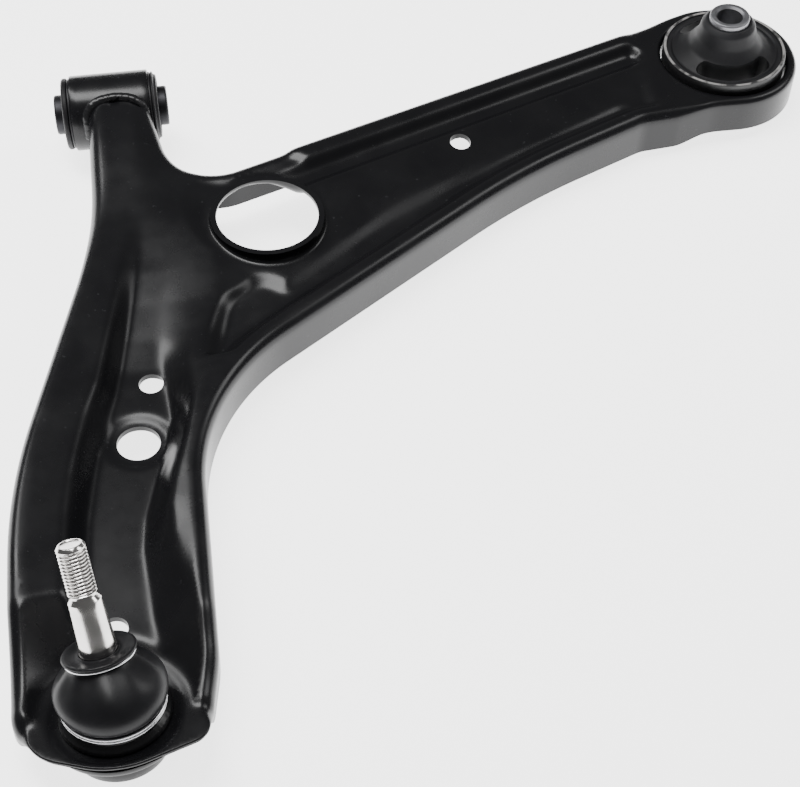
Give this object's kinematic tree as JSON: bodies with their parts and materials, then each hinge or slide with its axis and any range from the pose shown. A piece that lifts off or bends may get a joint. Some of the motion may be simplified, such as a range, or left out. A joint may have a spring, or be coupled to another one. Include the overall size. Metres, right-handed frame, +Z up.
{
  "type": "automotive control arm",
  "caption": "Pressed steel front lower control arm with a horizontal front bush, a vertical rear bush and a ball joint with a tapered stud.",
  "frame": {"origin": "centre of the front bush's bore", "axes": "+X along the front bush's bore to the rear bush's axis, +Z up along the rear bush's bore, ball joint towards -Y"},
  "size_m": [0.4363, 0.4432, 0.0902],
  "materials": {
    "black_coat": "gloss black dip coat",
    "weld_metal": "gloss black coat over a weld bead",
    "black_steel": "satin black coat",
    "rubber": "matt black rubber",
    "boot_rubber": "satin black rubber",
    "sleeve_steel": "grey phosphated steel",
    "bright_steel": "turned bright steel",
    "ring_steel": "drawn wire",
    "spring_steel": "blued spring steel",
    "bearing_plastic": "natural acetal"
  },
  "bodies": {
    "arm": {"arm_body": "black_coat", "front_bush_tube": "black_coat", "front_tube_weld": "weld_metal", "front_bush_shell": "black_steel", "front_bush_rubber": "rubber", "rear_bush_can": "black_steel", "rear_bush_rubber": "rubber", "ball_joint_housing": "black_coat", "ball_joint_cover": "black_steel", "ball_joint_doubler": "black_coat", "ball_joint_weld": "weld_metal", "preload_spring": "spring_steel"},
    "front_sleeve": {"front_bush_sleeve": "sleeve_steel"},
    "rear_sleeve": {"rear_bush_sleeve": "sleeve_steel"},
    "lean": {"ball_seat_upper": "bearing_plastic", "ball_seat_lower": "bearing_plastic", "dust_boot": "boot_rubber", "boot_lower_ring": "ring_steel"},
    "boot_neck": {"boot_upper_ring": "ring_steel"},
    "stud": {"ball_stud": "bright_steel"}
  },
  "joints": [
    {"name": "front_bush_twist", "type": "hinge", "parent": "arm", "child": "front_sleeve", "pos_m": [0, 0, 0], "axis": [1, 0, 0], "range_deg": [-18, 18], "stiffness_Nm_per_rad": 40, "deforming": ["front_bush_rubber"]},
    {"name": "rear_bush_tilt", "type": "hinge", "parent": "arm", "child": "rear_sleeve", "pos_m": [0.3407, 0, 0], "axis": [1, 0, 0], "range_deg": [-18, 18], "stiffness_Nm_per_rad": 60, "deforming": ["rear_bush_rubber"]},
    {"name": "stud_lean_direction", "type": "hinge", "parent": "arm", "child": "lean", "pos_m": [-0.012, -0.3707, -0.0079], "axis": [0, 0.1564, 0.9877], "continuous": true},
    {"name": "stud_lean", "type": "hinge", "parent": "lean", "child": "boot_neck", "pos_m": [-0.012, -0.3707, -0.0079], "axis": [-0.9541, -0.2959, 0.0469], "range_deg": [-45.9, 4.1], "deforming": ["dust_boot"]},
    {"name": "stud_spin", "type": "hinge", "parent": "boot_neck", "child": "stud", "pos_m": [-0.012, -0.3707, -0.0079], "axis": [-0.1068, 0.482, 0.8696], "continuous": true}
  ]
}
